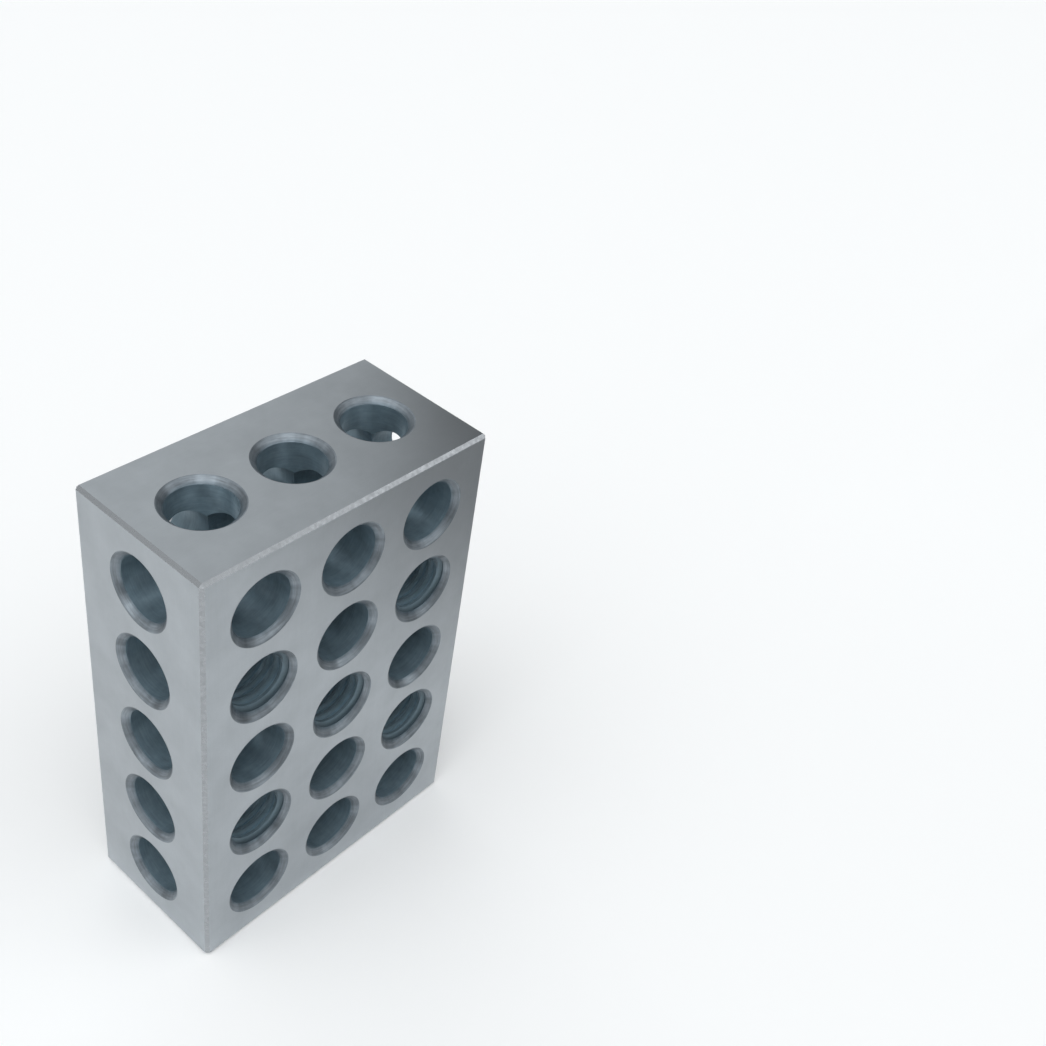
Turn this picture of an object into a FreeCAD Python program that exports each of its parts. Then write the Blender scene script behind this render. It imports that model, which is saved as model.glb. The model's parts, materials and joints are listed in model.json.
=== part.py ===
"""Setup block: a rectangular steel gauge block, drilled through in all three directions.

The block stands on one end, with X along its width, Y through its thickness and Z along its
height. The origin is the centre of the end that it stands on. Sizes are in millimetres.

Three families of through holes run along the three axes. They share the block's middle planes,
so every hole opens into the ones that it crosses. Five of the holes through the thickness are
tapped. They are bores of the tapping size here, without the fine thread.
"""
import FreeCAD, Part
import os

# Ground sizes over opposite faces
WIDTH = 50.0
THICKNESS = 25.0
HEIGHT = 75.0
EDGE_CHAMFER = 0.5

# Hole grid: how far the outer holes' axes are from the nearest faces, and how many there are
SIDE_DISTANCE = 10.0
END_DISTANCE = 9.5
COLUMNS = 3
ROWS = 5

# Holes
BORE_DIAMETER = 9.5
COUNTERSINK_WIDTH = 0.9
THREAD_DIAMETER = 10.0
THREAD_PITCH = 1.5

# What follows from the sizes above
BORE_RADIUS = BORE_DIAMETER / 2
MOUTH_RADIUS = BORE_RADIUS + COUNTERSINK_WIDTH
TAPPING_RADIUS = (THREAD_DIAMETER - THREAD_PITCH) / 2

AXIS_X = FreeCAD.Vector(1, 0, 0)
AXIS_Y = FreeCAD.Vector(0, 1, 0)
AXIS_Z = FreeCAD.Vector(0, 0, 1)


def evenly_spaced(first, last, count):
    """Places from first to last, all the same distance apart."""
    pitch = (last - first) / (count - 1)
    return [first + step * pitch for step in range(count)]


def is_tapped(column, row):
    """The middle hole of the grid and the four diagonally next to it are tapped."""
    across = abs(column - COLUMNS // 2)
    along = abs(row - ROWS // 2)
    return across == along and across <= 1


def ground_blank():
    """The solid block, with all twelve edges chamfered."""
    corner = FreeCAD.Vector(-WIDTH / 2, -THICKNESS / 2, 0)
    blank = Part.makeBox(WIDTH, THICKNESS, HEIGHT, corner)
    return blank.makeChamfer(EDGE_CHAMFER, blank.Edges)


def hole_cutter(start, axis, sideways, length, radius):
    """What a through hole removes: a bore with a 90 degree countersink at each of its mouths.

    It is one half section, revolved about the hole's axis. The mouths have the same size on
    every hole, whatever its bore. At both ends the section carries on out of the face, along
    the countersink's own slope.
    """
    depth = MOUTH_RADIUS - radius
    overrun = COUNTERSINK_WIDTH
    half_section = [
        (0, -overrun),
        (MOUTH_RADIUS + overrun, -overrun),
        (radius, depth),
        (radius, length - depth),
        (MOUTH_RADIUS + overrun, length + overrun),
        (0, length + overrun),
    ]
    points = [start + sideways * out + axis * along for out, along in half_section]
    outline = Part.makePolygon(points + [points[0]])
    return Part.Face(outline).revolve(start, axis, 360)


def hole_cutters():
    """The cutters of every hole: along the height, along the width and through the thickness."""
    column_places = evenly_spaced(SIDE_DISTANCE - WIDTH / 2, WIDTH / 2 - SIDE_DISTANCE, COLUMNS)
    row_places = evenly_spaced(END_DISTANCE, HEIGHT - END_DISTANCE, ROWS)
    cutters = []
    for x in column_places:
        start = FreeCAD.Vector(x, 0, 0)
        cutters.append(hole_cutter(start, AXIS_Z, AXIS_X, HEIGHT, BORE_RADIUS))
    for z in row_places:
        start = FreeCAD.Vector(-WIDTH / 2, 0, z)
        cutters.append(hole_cutter(start, AXIS_X, AXIS_Y, WIDTH, BORE_RADIUS))
    for column, x in enumerate(column_places):
        for row, z in enumerate(row_places):
            start = FreeCAD.Vector(x, -THICKNESS / 2, z)
            radius = TAPPING_RADIUS if is_tapped(column, row) else BORE_RADIUS
            cutters.append(hole_cutter(start, AXIS_Y, AXIS_X, THICKNESS, radius))
    return cutters


def setup_block():
    """The finished block, drilled out of its chamfered blank."""
    return ground_blank().cut(hole_cutters())


os.makedirs("parts", exist_ok=True)
setup_block().exportStep("parts/setup_block.step")
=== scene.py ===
"""Looks of the setup block: its finished steel surfaces and threads, a studio and a camera.

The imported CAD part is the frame. The block that is shown is cut here again at a higher
resolution, out of the CAD node's own box and along the holes that the record lists, so
every surface stays where the CAD has it. What is added are the threads of the tapped holes,
the small breaks on the rims and the finish of each surface. Lengths are in metres.
"""

import json
import math

import bmesh
import bpy
import numpy as np
from mathutils import Matrix, Vector


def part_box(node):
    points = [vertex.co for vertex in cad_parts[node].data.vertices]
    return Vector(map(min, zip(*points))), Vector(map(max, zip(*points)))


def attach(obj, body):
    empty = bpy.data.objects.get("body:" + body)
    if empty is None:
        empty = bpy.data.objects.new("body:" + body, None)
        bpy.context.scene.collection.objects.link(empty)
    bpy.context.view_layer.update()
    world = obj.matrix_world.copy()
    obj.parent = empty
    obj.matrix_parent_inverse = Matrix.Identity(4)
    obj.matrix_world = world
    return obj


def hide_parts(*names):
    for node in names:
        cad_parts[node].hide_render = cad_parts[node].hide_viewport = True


MM = 0.001

# The block's edges and holes, as in its construction
EDGE_CHAMFER = 0.5 * MM
MOUTH_RADIUS = 5.65 * MM
THREAD_RADIUS = 5.0 * MM
THREAD_PITCH = 1.5 * MM

# Finishing detail
RIM_BREAK = 0.10 * MM
THREAD_ROOT_FLAT = THREAD_PITCH / 8
THREAD_FLANK = math.radians(30)
THREAD_REACH_INWARDS = 0.25 * MM
THREAD_START = 0.87 * MM
CUTTER_OVERRUN = 1 * MM
SEGMENTS = 96

# Finishes, by their place in the block's material slots
GROUND, CHAMFERED, COUNTERSUNK, DRILLED, THREADED = range(5)

# Colours of the finishes
GROUND_COLOUR = (0.44, 0.473, 0.50, 1)
CHAMFER_COLOUR = (0.39, 0.41, 0.43, 1)
COUNTERSINK_COLOUR = (0.215, 0.245, 0.272, 1)
# Painted shade: the countersink's colour next to the bore, where it darkens into the hole
COUNTERSINK_SHADE_COLOUR = (0.11, 0.15, 0.18, 1)
BORE_COLOUR = (0.18, 0.25, 0.295, 1)
THREAD_COLOUR = (0.128, 0.185, 0.22, 1)

# Each finish has layers of noise. Factors on its colour, from a layer's low to its high end
CLOUD_TINT = (0.94, 1.06)
GRINDING_LINE_TINT = (0.98, 1.02)
GROUND_GRAIN_TINT = (0.98, 1.02)
CHAMFER_PATCH_TINT = (0.94, 1.08)
CHAMFER_GRAIN_TINT = (0.97, 1.03)
COUNTERSINK_PATCH_TINT = (0.62, 1.33)
COUNTERSINK_RING_TINT = (0.75, 1.25)
BORE_PATCH_TINT = (0.8, 1.3)
BORE_RING_TINT = (0.88, 1.12)
THREAD_PATCH_TINT = (0.9, 1.1)

# Roughness of each finish, from a layer's low to its high end. The grain's adds to the clouds'.
CLOUD_ROUGHNESS = (0.40, 0.34)
GROUND_GRAIN_ROUGHNESS = (-0.02, 0.02)
CHAMFER_ROUGHNESS = (0.36, 0.22)
COUNTERSINK_ROUGHNESS = (0.48, 0.32)
BORE_ROUGHNESS = (0.5, 0.34)
THREAD_ROUGHNESS = (0.45, 0.55)
STAGE_ROUGHNESS = 0.9

# Relief of each layer, from its low to its high end
GRINDING_LINE_RELIEF = 0.0015 * MM
GROUND_GRAIN_RELIEF = 0.004 * MM
CHAMFER_PATCH_RELIEF = 0.015 * MM
CHAMFER_GRAIN_RELIEF = 0.005 * MM
COUNTERSINK_RING_RELIEF = 0.05 * MM
BORE_RING_RELIEF = 0.03 * MM
THREAD_GRAIN_RELIEF = 0.01 * MM

# How the layers lie on the surface. Grinding lines are noise that is drawn out along the face.
# A face counts as an end of the block where its normal points this much up or down.
GRINDING_LINE_STRETCH = 0.03
END_FACE_NORMAL = 0.9
COUNTERSINK_RING_DENSITY = 3.2
BORE_RING_DENSITY = 4.0
BORE_PATCH_DENSITY = 0.25
HOLE_SEED_STEP = 7.3

# Where the colour changes inside a hole, partly as painted shade and painted light: radii and depths in
# millimetres, as the nodes have them
# Painted shade on the countersinks: the radii from the bore out to the rim over which it fades, and how
# unevenly it ends
COUNTERSINK_SHADE_TO_RIM_RADII = (4.95, 5.5)
COUNTERSINK_SHADE_UNEVENNESS = 0.6
# At the mouth, the thread's roots are darker than its crests
MOUTH_THREAD_TINT = (1.05, 0.75)
MOUTH_THREAD_RADII = (4.3, 4.8)
# Painted light: further in, the thread's roots are painted lighter than its crests, against their shade
INNER_THREAD_PAINTED_LIGHT = (0.8, 2.2)
INNER_THREAD_RADII = (4.3, 5.0)
MOUTH_TO_INNER_DEPTHS = (1.8, 2.4)

# Camera, in the block's own frame
CAMERA_PLACE = Vector((-96.7, -104.9, 180.2)) * MM
CAMERA_AIM = Vector((92.4, 25.4, 0.0)) * MM
CAMERA_ROLL = math.radians(10.2)
CAMERA_LENS = 45.3
CAMERA_CLIP_START = 1 * MM

# The white floor that the block stands on
FLOOR_SIZE = 20.0
FLOOR_COLOUR = (0.96, 0.96, 0.96, 1)

# Light from all round. Each area has a direction, a strength, and the angles from its middle,
# in degrees, at which it starts to fade and at which it ends. A negative one takes light away.
WORLD_COLOUR = (0.97, 0.99, 1.0, 1)
WORLD_BASE = 0.29
WORLD_AREAS = {
    "overhead": ((-0.35, -0.2, 0.9), 1.65, 10, 52),
    "front right": ((0.52, -0.60, 0.60), 0.6, 8, 36),
    "back left": ((-0.7, 0.45, 0.4), 0.32, 15, 55),
    "left": ((-0.8, -0.15, 0.55), 0.35, 10, 40),
    "back right": ((0.3, 0.75, 0.6), 0.58, 8, 32),
    "low in front": ((-0.45, -0.85, 0.1), -0.2, 10, 40),
    "low at the right": ((0.95, -0.2, 0.1), -0.24, 12, 42),
}
LAMP_PLACE = Vector((0.52, -0.50, 0.40))
LAMP_SIZE = 0.25
LAMP_POWER = 0.12

# Grey cards round the block, which only show as reflections. Those on the floor are given by
# their left, right, front and back edges, and by how light they are far from the block.
FLOOR_CARDS = (
    ((-1.0, 1.0, -1.0, -0.0135), 0.15),
    ((-1.0, -0.0265, -0.0135, 1.0), 0.5),
)
FLOOR_CARD_HEIGHT = 1 * MM
FAR_FADE = (0.16, 0.32)
DARK_SPOT = (0.107, -0.080, 0.0)
DARK_SPOT_LEVELS = (0.16, 0.88)
DARK_SPOT_FADE = (0.020, 0.082)
SIDE_CARD_X = 0.085
SIDE_CARD_Y = (-0.02, 0.055)
SIDE_CARD_Z = (0.095, 0.160)
SIDE_CARD_COLOUR = (0.03, 0.03, 0.03, 1)
WHITE = (1, 1, 1, 1)


class Hole:
    """A through hole of the record: where its mouth is, and which way it goes into the block."""

    def __init__(self, mount):
        outwards = Vector(mount["axis"])
        self.radius = mount["dims"]["r_mm"] * MM
        self.depth = MOUTH_RADIUS - self.radius
        self.mouth = Vector(mount["pos_m"]) + outwards * self.depth
        self.length = mount["dims"]["length_mm"] * MM + 2 * self.depth
        self.tapped = mount["kind"] == "threaded_hole"
        turned = Vector((0, 0, 1)).rotation_difference(-outwards)
        self.matrix = Matrix.LocRotScale(self.mouth, turned, None)


def holes_of(record):
    """The holes that the record gives as mounts."""
    return [Hole(mount) for mount in record["mounts"] if mount["kind"] in ("bore", "threaded_hole")]


def ring_angles():
    """The angles of the points of a ring."""
    return [2 * math.pi * step / SEGMENTS for step in range(SEGMENTS)]


def lathed(bm, profile, finishes):
    """A closed solid of revolution about Z. The profile's first and last points are on Z."""
    rings = []
    for along, radius in profile:
        if radius == 0:
            rings.append([bm.verts.new((0, 0, along))] * SEGMENTS)
        else:
            rings.append(
                [bm.verts.new((radius * math.cos(a), radius * math.sin(a), along)) for a in ring_angles()]
            )
    for near, far, finish in zip(rings, rings[1:], finishes):
        for step in range(SEGMENTS):
            following = (step + 1) % SEGMENTS
            corners = [near[step], near[following], far[following], far[step]]
            face = bm.faces.new(list(dict.fromkeys(corners)))
            face.material_index = finish


def hole_cutter(bm, hole):
    """A bore with a countersink at both mouths, whose rims are slightly broken."""
    shallow = RIM_BREAK * math.cos(math.pi / 4)
    steepness = (RIM_BREAK + shallow) / shallow
    half = [
        (-CUTTER_OVERRUN, 0),
        (-CUTTER_OVERRUN, MOUTH_RADIUS + RIM_BREAK + steepness * CUTTER_OVERRUN),
        (shallow, MOUTH_RADIUS - shallow),
        (hole.depth, hole.radius),
    ]
    other_half = [(hole.length - along, radius) for along, radius in reversed(half)]
    finishes = [GROUND, COUNTERSUNK, COUNTERSUNK, DRILLED, COUNTERSUNK, COUNTERSUNK, GROUND]
    lathed(bm, half + other_half, finishes)


def thread_cutter(bm, hole):
    """A right-hand thread's ridge about Z, which leaves its groove in the wall of the bore.

    Its rows follow the helix. At the end of a turn a row carries on as the row one pitch on.
    """
    inner_radius = hole.radius - THREAD_REACH_INWARDS
    half_root = THREAD_ROOT_FLAT / 2
    half_base = half_root + (THREAD_RADIUS - inner_radius) * math.tan(THREAD_FLANK)
    profile = [
        (-half_base, inner_radius),
        (-half_root, THREAD_RADIUS),
        (half_root, THREAD_RADIUS),
        (half_base, inner_radius),
    ]
    per_turn = len(profile)
    turns = math.ceil(hole.length / THREAD_PITCH) + 2
    first = THREAD_START - 2 * THREAD_PITCH
    columns = []
    for step, angle in enumerate(ring_angles()):
        column = []
        for row in range(turns * per_turn + 1):
            along, radius = profile[row % per_turn]
            turn = row // per_turn + step / SEGMENTS
            place = (radius * math.cos(angle), radius * math.sin(angle), first + along + turn * THREAD_PITCH)
            column.append(bm.verts.new(place))
        columns.append(column)
    # One more column, which is the first one a turn further on
    columns.append(columns[0][per_turn:])
    for column, following in zip(columns, columns[1:]):
        for row in range(min(len(column), len(following)) - 1):
            face = bm.faces.new([column[row], following[row], following[row + 1], column[row + 1]])
            face.material_index = THREADED
    cap_ends(bm)


def cap_ends(bm):
    """Closes a tube's two open ends, each with a fan to a point on Z."""
    edges = [edge for edge in bm.edges if edge.is_boundary]
    middle = sum(edge.verts[0].co.z for edge in edges) / len(edges)
    for side in (-1, 1):
        rim = [edge for edge in edges if (edge.verts[0].co.z - middle) * side > 0]
        reach = max(vert.co.z * side for edge in rim for vert in edge.verts)
        tip = bm.verts.new((0, 0, side * (reach + CUTTER_OVERRUN)))
        for edge in rim:
            bm.faces.new([edge.verts[0], edge.verts[1], tip])


def as_object(bm, name, hole_number):
    """An object of the mesh, whose faces remember the hole that they come from."""
    bmesh.ops.recalc_face_normals(bm, faces=bm.faces)
    mesh = bpy.data.meshes.new(name)
    bm.to_mesh(mesh)
    bm.free()
    attribute = mesh.attributes.new("hole", "INT", "FACE")
    attribute.data.foreach_set("value", [hole_number] * len(mesh.polygons))
    return bpy.data.objects.new(name, mesh)


def blank(low, high):
    """The block before drilling, with its edges chamfered."""
    bm = bmesh.new()
    bmesh.ops.create_cube(bm, size=1)
    for vert in bm.verts:
        for axis in range(3):
            vert.co[axis] = high[axis] if vert.co[axis] > 0 else low[axis]
    faces = bmesh.ops.bevel(bm, geom=bm.edges, offset=EDGE_CHAMFER, segments=1, affect="EDGES")["faces"]
    for face in faces:
        face.material_index = CHAMFERED
    return as_object(bm, "setup_block_steel", 0)


def cutters(holes):
    """The cutters of every hole. Hole numbers start at 1, because 0 is the blank."""
    made = []
    for number, hole in enumerate(holes, start=1):
        builders = [hole_cutter, thread_cutter] if hole.tapped else [hole_cutter]
        for build in builders:
            bm = bmesh.new()
            build(bm, hole)
            bm.transform(hole.matrix)
            made.append(as_object(bm, f"cutter_{len(made)}", number))
    return made


def drill(block, holes, materials):
    """Cuts every hole out of the block."""
    collection = bpy.data.collections.new("cutters")
    bpy.context.scene.collection.children.link(collection)
    tools = cutters(holes)
    for tool in tools:
        collection.objects.link(tool)
    for piece in [block, *tools]:
        for material in materials:
            piece.data.materials.append(material)
    cut = block.modifiers.new("holes", "BOOLEAN")
    cut.operation = "DIFFERENCE"
    cut.solver = "MANIFOLD"
    cut.operand_type = "COLLECTION"
    cut.collection = collection
    bpy.context.view_layer.update()
    depsgraph = bpy.context.evaluated_depsgraph_get()
    drilled = bpy.data.meshes.new_from_object(block.evaluated_get(depsgraph))
    block.modifiers.clear()
    block.data = drilled
    for tool in tools:
        bpy.data.meshes.remove(tool.data)
    bpy.data.collections.remove(collection)


def set_round_normals(mesh, holes):
    """Gives each wall the normals of the true round form, and leaves flat faces flat.

    A facet of a round wall spans one step of the ring. Its own normal is right in the middle
    of the step, so at a corner it is turned about the hole's axis by what is left to there.
    """
    hole_numbers = np.zeros(len(mesh.polygons), np.int32)
    mesh.attributes["hole"].data.foreach_get("value", hole_numbers)
    step = 2 * math.pi / SEGMENTS
    normals = []
    places = []
    for face, number in zip(mesh.polygons, hole_numbers):
        if number == 0:
            normals += [face.normal.copy()] * face.loop_total
            places += [Vector()] * face.loop_total
            continue
        to_world = holes[number - 1].matrix
        to_hole = to_world.inverted()
        centre = to_hole @ face.center
        middle = (math.floor(math.atan2(centre.y, centre.x) / step) + 0.5) * step
        flat = to_hole.to_3x3() @ face.normal
        for vertex in face.vertices:
            place = to_hole @ mesh.vertices[vertex].co
            angle = math.atan2(place.y, place.x) - middle
            normals.append(to_world.to_3x3() @ (Matrix.Rotation(angle, 3, "Z") @ flat))
            places.append(place / MM)
    mesh.polygons.foreach_set("use_smooth", [True] * len(mesh.polygons))
    mesh.normals_split_custom_set(normals)
    attribute = mesh.attributes.new("place_in_hole", "FLOAT_VECTOR", "CORNER")
    attribute.data.foreach_set("vector", np.array(places, np.float32).ravel())


class Nodes:
    """Adds nodes to a tree, in the order that they are used."""

    def __init__(self, tree):
        self.tree = tree

    def add(self, kind, values=(), **settings):
        """A node with these settings. Each value is a constant or another node's output."""
        node = self.tree.nodes.new("ShaderNode" + kind)
        for name, setting in settings.items():
            setattr(node, name, setting)
        for socket, value in dict(values).items():
            if isinstance(value, bpy.types.NodeSocket):
                self.tree.links.new(value, node.inputs[socket])
            else:
                node.inputs[socket].default_value = value
        return node

    def maths(self, operation, *values):
        """One step of arithmetic on numbers."""
        return self.add("Math", dict(enumerate(values)), operation=operation).outputs[0]

    def vector_maths(self, operation, *values):
        """One step of arithmetic on vectors."""
        return self.add("VectorMath", dict(enumerate(values)), operation=operation).outputs["Vector"]

    def length(self, vector):
        """How long the vector is."""
        return self.add("VectorMath", {0: vector}, operation="LENGTH").outputs["Value"]

    def noise(self, vector, scale, seed=0.0, detail=2.0, roughness=0.5):
        """Noise from 0 to 1, which differs with the seed."""
        values = {"Vector": vector, "W": seed, "Scale": scale, "Detail": detail, "Roughness": roughness}
        return self.add("TexNoise", values, noise_dimensions="4D").outputs["Fac"]

    def fine_noise(self, vector, scale, seed):
        """Noise with more of its fine detail."""
        return self.noise(vector, scale, seed, detail=3.0, roughness=0.6)

    def between(self, factor, low, high, start=0.3, stop=0.7, **settings):
        """A number that goes from low to high as the factor goes from start to stop."""
        values = {"Value": factor, "From Min": start, "From Max": stop, "To Min": low, "To Max": high}
        return self.add("MapRange", values, **settings).outputs["Result"]

    def mix(self, kind, factor, first, second, **settings):
        """Goes from first to second as the factor goes from 0 to 1: FLOAT, VECTOR or RGBA."""
        values = {"Factor": factor, "A": first, "B": second}
        return self.add("Mix", values, data_type=kind, **settings).outputs["Result"]

    def tint(self, colour, *factors):
        """The colour, made lighter or darker by each factor."""
        for factor in factors:
            grey = self.add("CombineColor", {"Red": factor, "Green": factor, "Blue": factor}).outputs[0]
            colour = self.mix("RGBA", 1.0, colour, grey, blend_type="MULTIPLY")
        return colour


class Finish(Nodes):
    """The material of one finish."""

    def __init__(self, name, metallic):
        self.material = bpy.data.materials.new(name)
        self.material.use_nodes = True
        super().__init__(self.material.node_tree)
        self.shader = self.tree.nodes["Principled BSDF"]
        self.shader.inputs["Metallic"].default_value = metallic

    def raise_surface(self, height, distance):
        """Adds a layer of relief. Its height goes from 0 to 1, over this distance."""
        bump = self.add("Bump", {"Height": height, "Distance": distance})
        below = self.shader.inputs["Normal"]
        if below.is_linked:
            self.tree.links.new(below.links[0].from_socket, bump.inputs["Normal"])
        self.tree.links.new(bump.outputs["Normal"], below)

    def colour_and_roughness(self, colour, roughness):
        """Gives the shader the colour and roughness that the nodes work out."""
        self.tree.links.new(colour, self.shader.inputs["Base Color"])
        self.tree.links.new(roughness, self.shader.inputs["Roughness"])

    def block_place(self):
        """The place on the block, in millimetres."""
        place = self.add("TexCoord").outputs["Object"]
        return self.vector_maths("MULTIPLY", place, (1 / MM, 1 / MM, 1 / MM))

    def hole_place(self):
        """The place in the hole: its direction from the axis, and its radius and depth in mm."""
        place = self.add("Attribute", attribute_name="place_in_hole").outputs["Vector"]
        across = self.vector_maths("MULTIPLY", place, (1, 1, 0))
        direction = self.vector_maths("NORMALIZE", across)
        depth = self.add("SeparateXYZ", {"Vector": place}).outputs["Z"]
        return direction, self.length(across), depth

    def noise_round(self, direction, turn, along, scale):
        """Noise that differs round the hole, more so with a larger turn, along it, and per hole."""
        hole_number = self.add("Attribute", attribute_name="hole").outputs["Fac"]
        seed = self.maths("MULTIPLY", hole_number, HOLE_SEED_STEP)
        around = self.vector_maths("MULTIPLY", direction, (turn, turn, 0))
        onwards = self.add("CombineXYZ", {"Z": along}).outputs[0]
        return self.fine_noise(self.vector_maths("ADD", around, onwards), scale, seed)


def ground_steel():
    """Surface ground: fine straight grinding lines under a soft, cloudy unevenness."""
    finish = Finish("ground_steel", metallic=1.0)
    place = finish.block_place()
    normal = finish.add("TexCoord").outputs["Normal"]
    upwards = finish.maths("ABSOLUTE", finish.add("SeparateXYZ", {"Vector": normal}).outputs["Z"])
    is_end = finish.maths("GREATER_THAN", upwards, END_FACE_NORMAL)
    along_height = finish.vector_maths("MULTIPLY", place, (1.0, 1.0, GRINDING_LINE_STRETCH))
    along_width = finish.vector_maths("MULTIPLY", place, (GRINDING_LINE_STRETCH, 1.0, 1.0))
    stretched = finish.mix("VECTOR", is_end, along_height, along_width)
    lines = finish.noise(stretched, scale=5.0, detail=4.0, roughness=0.7)
    clouds = finish.noise(place, scale=0.15, seed=3.0, detail=4.0, roughness=0.6)
    grain = finish.fine_noise(place, scale=6.0, seed=5.0)
    colour = finish.tint(
        GROUND_COLOUR,
        finish.between(clouds, *CLOUD_TINT),
        finish.between(lines, *GRINDING_LINE_TINT),
        finish.between(grain, *GROUND_GRAIN_TINT),
    )
    cloudy_roughness = finish.between(clouds, *CLOUD_ROUGHNESS)
    grainy_roughness = finish.between(grain, *GROUND_GRAIN_ROUGHNESS)
    finish.colour_and_roughness(colour, finish.maths("ADD", cloudy_roughness, grainy_roughness))
    finish.raise_surface(lines, GRINDING_LINE_RELIEF)
    finish.raise_surface(grain, GROUND_GRAIN_RELIEF)
    return finish.material


def chamfered_steel():
    """Edges ground by hand: brighter, and uneven along their length."""
    finish = Finish("chamfered_steel", metallic=1.0)
    place = finish.block_place()
    patches = finish.noise(place, scale=1.7, seed=11.0)
    grain = finish.fine_noise(place, scale=4.0, seed=12.0)
    colour = finish.tint(
        CHAMFER_COLOUR,
        finish.between(patches, *CHAMFER_PATCH_TINT),
        finish.between(grain, *CHAMFER_GRAIN_TINT),
    )
    finish.colour_and_roughness(colour, finish.between(patches, *CHAMFER_ROUGHNESS))
    finish.raise_surface(patches, CHAMFER_PATCH_RELIEF)
    finish.raise_surface(grain, CHAMFER_GRAIN_RELIEF)
    return finish.material


def countersunk_steel():
    """Cut by a countersink: rings round the hole, patchy, and with painted shade that darkens it towards the
    bore.
    """
    finish = Finish("countersunk_steel", metallic=0.65)
    direction, radius, _ = finish.hole_place()
    outwards = finish.maths("MULTIPLY", radius, COUNTERSINK_RING_DENSITY)
    rings = finish.noise_round(direction, turn=1.3, along=outwards, scale=1.6)
    patches = finish.noise_round(direction, turn=1.0, along=0.0, scale=1.5)
    # Painted shade: the countersink is painted darker towards the bore
    uneven_radius = finish.maths("MULTIPLY_ADD", patches, COUNTERSINK_SHADE_UNEVENNESS, radius)
    towards_rim = finish.between(uneven_radius, 0.0, 1.0, *COUNTERSINK_SHADE_TO_RIM_RADII)
    colour = finish.tint(
        finish.mix("RGBA", towards_rim, COUNTERSINK_SHADE_COLOUR, COUNTERSINK_COLOUR),
        finish.between(patches, *COUNTERSINK_PATCH_TINT),
        finish.between(rings, *COUNTERSINK_RING_TINT),
    )
    finish.colour_and_roughness(colour, finish.between(patches, *COUNTERSINK_ROUGHNESS))
    finish.raise_surface(rings, COUNTERSINK_RING_RELIEF)
    return finish.material


def drilled_steel():
    """As drilled and hardened: dark, dull and blue-grey, with faint rings down the bore."""
    finish = Finish("drilled_steel", metallic=0.5)
    direction, _, depth = finish.hole_place()
    slowly_inwards = finish.maths("MULTIPLY", depth, BORE_PATCH_DENSITY)
    quickly_inwards = finish.maths("MULTIPLY", depth, BORE_RING_DENSITY)
    patches = finish.noise_round(direction, turn=1.5, along=slowly_inwards, scale=1.0)
    rings = finish.noise_round(direction, turn=1.5, along=quickly_inwards, scale=1.0)
    colour = finish.tint(
        BORE_COLOUR,
        finish.between(patches, *BORE_PATCH_TINT),
        finish.between(rings, *BORE_RING_TINT),
    )
    finish.colour_and_roughness(colour, finish.between(patches, *BORE_ROUGHNESS))
    finish.raise_surface(rings, BORE_RING_RELIEF)
    return finish.material


def threaded_steel():
    """A cut thread. At the mouth its roots are darker than its crests; further in they are painted lighter
    than the crests, as painted light against their shade.
    """
    finish = Finish("threaded_steel", metallic=0.35)
    direction, radius, depth = finish.hole_place()
    patches = finish.noise_round(direction, turn=1.0, along=0.0, scale=2.0)
    grain = finish.fine_noise(finish.block_place(), scale=3.0, seed=1.0)
    at_mouth = finish.between(radius, *MOUTH_THREAD_TINT, *MOUTH_THREAD_RADII)
    # Painted light: further in, the roots are painted lighter than the crests
    further_in = finish.between(radius, *INNER_THREAD_PAINTED_LIGHT, *INNER_THREAD_RADII)
    inwards = finish.between(depth, 0.0, 1.0, *MOUTH_TO_INNER_DEPTHS)
    level = finish.mix("FLOAT", inwards, at_mouth, further_in)
    colour = finish.tint(THREAD_COLOUR, level, finish.between(patches, *THREAD_PATCH_TINT))
    finish.colour_and_roughness(colour, finish.between(grain, *THREAD_ROUGHNESS))
    finish.raise_surface(grain, THREAD_GRAIN_RELIEF)
    return finish.material


def steel_block(record):
    """The drilled and finished block, which is shown in place of the CAD node."""
    low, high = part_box("setup_block")
    holes = holes_of(record)
    block = blank(low, high)
    bpy.context.scene.collection.objects.link(block)
    finishes = [
        ground_steel(),
        chamfered_steel(),
        countersunk_steel(),
        drilled_steel(),
        threaded_steel(),
    ]
    drill(block, holes, finishes)
    set_round_normals(block.data, holes)
    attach(block, "root")
    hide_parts("setup_block")


def flat_piece(name, corners):
    """A staged piece with one flat face, and its dull material."""
    mesh = bpy.data.meshes.new(name)
    mesh.from_pydata(corners, [], [range(len(corners))])
    piece = bpy.data.objects.new(name, mesh)
    bpy.context.scene.collection.objects.link(piece)
    finish = Finish(name, metallic=0.0)
    finish.shader.inputs["Roughness"].default_value = STAGE_ROUGHNESS
    mesh.materials.append(finish.material)
    return piece, finish


def level_corners(left, right, front, back, height):
    """The corners of a level rectangle."""
    return [(left, front, height), (right, front, height), (right, back, height), (left, back, height)]


def floor():
    """The white floor, which takes the block's shadow."""
    reach = FLOOR_SIZE / 2
    _, finish = flat_piece("floor", level_corners(-reach, reach, -reach, reach, 0))
    finish.shader.inputs["Base Color"].default_value = FLOOR_COLOUR


def card(name, corners):
    """A card that only shows as a reflection."""
    piece, finish = flat_piece(name, corners)
    finish.shader.inputs["Specular IOR Level"].default_value = 0.0
    piece.visible_camera = False
    piece.visible_diffuse = False
    piece.visible_shadow = False
    piece.visible_transmission = False
    return finish


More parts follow.
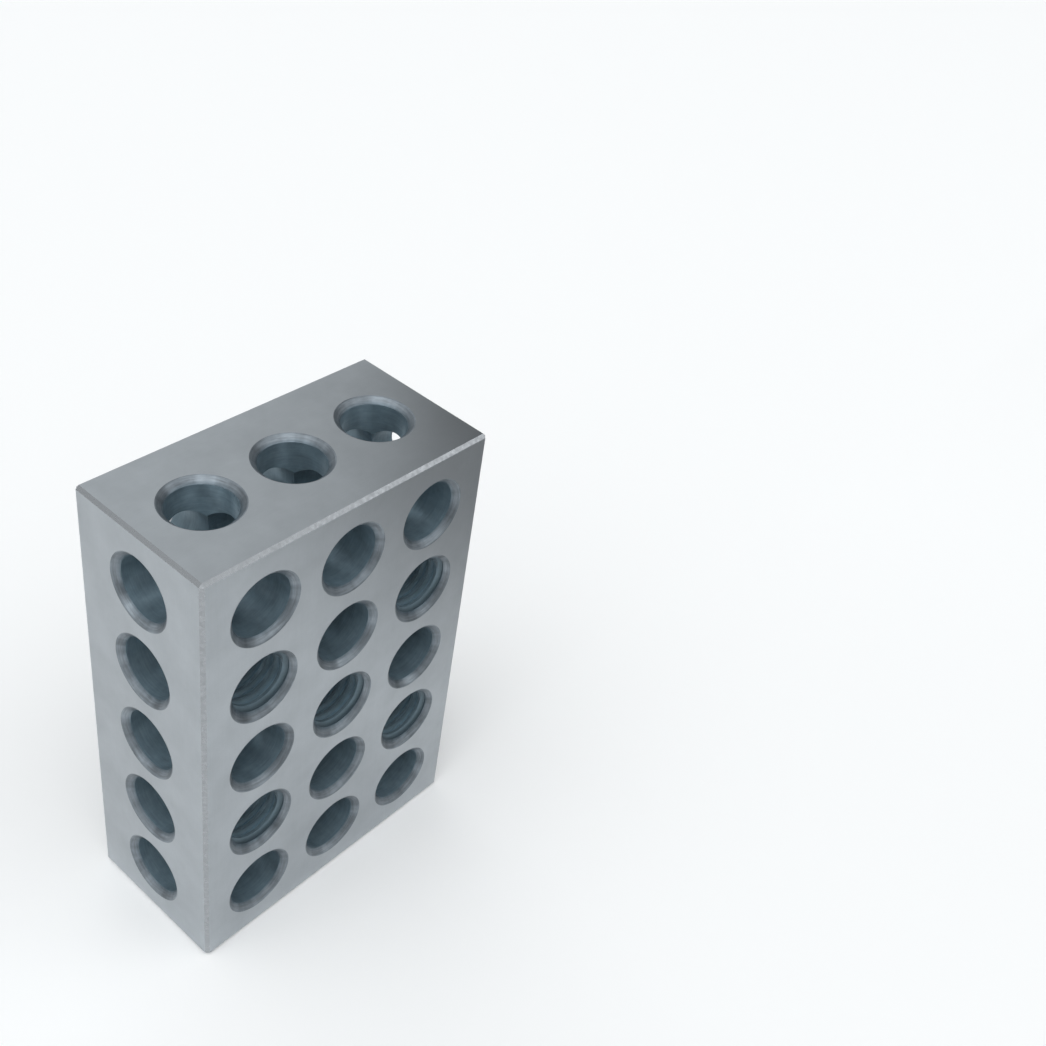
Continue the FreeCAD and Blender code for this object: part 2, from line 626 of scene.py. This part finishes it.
def floor_card(edges, far_level):
    """A card that lies on the floor, and is darker far away and round the dark spot."""
    finish = card("floor_card", level_corners(*edges, FLOOR_CARD_HEIGHT))
    place = finish.add("TexCoord").outputs["Object"]
    from_block = finish.length(place)
    from_dark_spot = finish.length(finish.vector_maths("SUBTRACT", place, DARK_SPOT))
    colour = finish.tint(
        WHITE,
        finish.between(from_block, 1.0, far_level, *FAR_FADE),
        finish.between(from_dark_spot, *DARK_SPOT_LEVELS, *DARK_SPOT_FADE),
    )
    finish.tree.links.new(colour, finish.shader.inputs["Base Color"])


def side_card():
    """A dark card above and to the right of the block, which the top reflects."""
    (front, back), (bottom, top) = SIDE_CARD_Y, SIDE_CARD_Z
    sides = [(front, bottom), (back, bottom), (back, top), (front, top)]
    finish = card("side_card", [(SIDE_CARD_X, y, z) for y, z in sides])
    finish.shader.inputs["Base Color"].default_value = SIDE_CARD_COLOUR


def world_light():
    """Even light from all round, with softly lighter and darker areas."""
    world = bpy.data.worlds.new("studio")
    bpy.context.scene.world = world
    world.use_nodes = True
    nodes = Nodes(world.node_tree)
    direction = nodes.add("TexCoord").outputs["Generated"]
    level = WORLD_BASE
    for axis, strength, full, end in WORLD_AREAS.values():
        towards = {0: direction, 1: Vector(axis).normalized()}
        facing = nodes.add("VectorMath", towards, operation="DOT_PRODUCT").outputs["Value"]
        cosines = [math.cos(math.radians(angle)) for angle in (end, full)]
        area = nodes.between(facing, 0.0, strength, *cosines, interpolation_type="SMOOTHSTEP")
        level = nodes.maths("ADD", level, area)
    background = world.node_tree.nodes["Background"]
    background.inputs["Color"].default_value = WORLD_COLOUR
    world.node_tree.links.new(level, background.inputs["Strength"])


def front_lamp():
    """A soft lamp that puts a shine on the top's front edge."""
    data = bpy.data.lights.new("front_lamp", "AREA")
    data.energy = LAMP_POWER
    data.size = LAMP_SIZE
    lamp = bpy.data.objects.new("front_lamp", data)
    lamp.location = LAMP_PLACE
    (_, _, bottom), (_, _, top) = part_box("setup_block")
    aim = Vector((0, 0, (bottom + top) / 2))
    lamp.rotation_euler = (aim - LAMP_PLACE).to_track_quat("-Z", "Y").to_euler()
    bpy.context.scene.collection.objects.link(lamp)


def camera():
    """The camera, aimed and then rolled about its own axis."""
    data = bpy.data.cameras.new("camera")
    data.lens = CAMERA_LENS
    data.clip_start = CAMERA_CLIP_START
    made = bpy.data.objects.new("camera", data)
    aimed = (CAMERA_AIM - CAMERA_PLACE).to_track_quat("-Z", "Y").to_matrix()
    turned = (aimed @ Matrix.Rotation(CAMERA_ROLL, 3, "Z")).to_quaternion()
    made.matrix_world = Matrix.LocRotScale(CAMERA_PLACE, turned, None)
    bpy.context.scene.collection.objects.link(made)
    bpy.context.scene.camera = made


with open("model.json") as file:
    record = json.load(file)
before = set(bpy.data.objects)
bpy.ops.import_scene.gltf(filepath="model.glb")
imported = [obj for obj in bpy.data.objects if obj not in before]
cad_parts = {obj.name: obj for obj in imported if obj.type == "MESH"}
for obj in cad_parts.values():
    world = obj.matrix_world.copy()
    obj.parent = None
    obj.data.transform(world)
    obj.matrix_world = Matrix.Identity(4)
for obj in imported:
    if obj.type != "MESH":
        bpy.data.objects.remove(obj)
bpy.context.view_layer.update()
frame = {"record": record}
bpy.context.scene.view_settings.view_transform = "Standard"
steel_block(frame["record"])
floor()
for edges, far_level in FLOOR_CARDS:
    floor_card(edges, far_level)
side_card()
world_light()
front_lamp()
camera()
